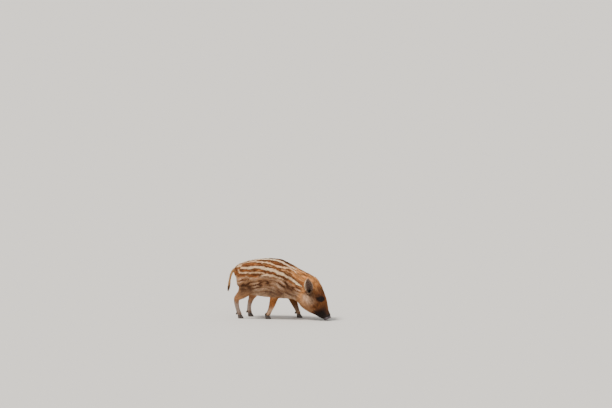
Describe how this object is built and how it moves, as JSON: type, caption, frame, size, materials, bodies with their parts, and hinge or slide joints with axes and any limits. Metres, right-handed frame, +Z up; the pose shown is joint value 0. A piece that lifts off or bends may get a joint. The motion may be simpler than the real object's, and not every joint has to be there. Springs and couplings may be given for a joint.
{
  "type": "wild boar piglet",
  "caption": "Striped wild boar piglet, life size, standing mid-step with its head turned a little and its nose pressed to the ground as it roots.",
  "frame": {"origin": "middle of the underside of the model's box, on the ground plane", "axes": "+X the way the trunk faces, +Y its left side, +Z up"},
  "size_m": [0.5006, 0.157, 0.282],
  "materials": {
    "coat": "dense short fur, orange-brown with cream stripes edged in dark brown",
    "face_coat": "very short fur, orange-brown on the forehead, grey-buff cheek, dark muzzle",
    "leg_coat": "very short fur, orange-brown above, paler beige-grey below",
    "tail_coat": "short fur, buff with a dark brush",
    "ear_coat": "thin short fur, pale rim and dark inside",
    "eye": "moist, very dark brown",
    "snout_skin": "bare dark grey skin, slightly moist",
    "horn": "dark horn, worn dull"
  },
  "bodies": {
    "root": {"dewclaw_forefoot_left_inner": "horn", "dewclaw_forefoot_left_outer": "horn", "dewclaw_forefoot_right_inner": "horn", "dewclaw_forefoot_right_outer": "horn", "dewclaw_hindfoot_left_inner": "horn", "dewclaw_hindfoot_left_outer": "horn", "dewclaw_hindfoot_right_inner": "horn", "dewclaw_hindfoot_right_outer": "horn", "ear_left": "ear_coat", "ear_right": "ear_coat", "eye_left": "eye", "eye_right": "eye", "foreleg_left_lower": "leg_coat", "foreleg_left_upper": "leg_coat", "foreleg_right_lower": "leg_coat", "foreleg_right_upper": "leg_coat", "head": "face_coat", "hindleg_left_lower": "leg_coat", "hindleg_left_upper": "leg_coat", "hindleg_right_lower": "leg_coat", "hindleg_right_upper": "leg_coat", "hoof_forefoot_left_inner": "horn", "hoof_forefoot_left_outer": "horn", "hoof_forefoot_right_inner": "horn", "hoof_forefoot_right_outer": "horn", "hoof_hindfoot_left_inner": "horn", "hoof_hindfoot_left_outer": "horn", "hoof_hindfoot_right_inner": "horn", "hoof_hindfoot_right_outer": "horn", "lower_jaw": "face_coat", "neck": "coat", "snout_disc": "snout_skin", "tail": "tail_coat", "trunk": "coat"}
  },
  "joints": []
}
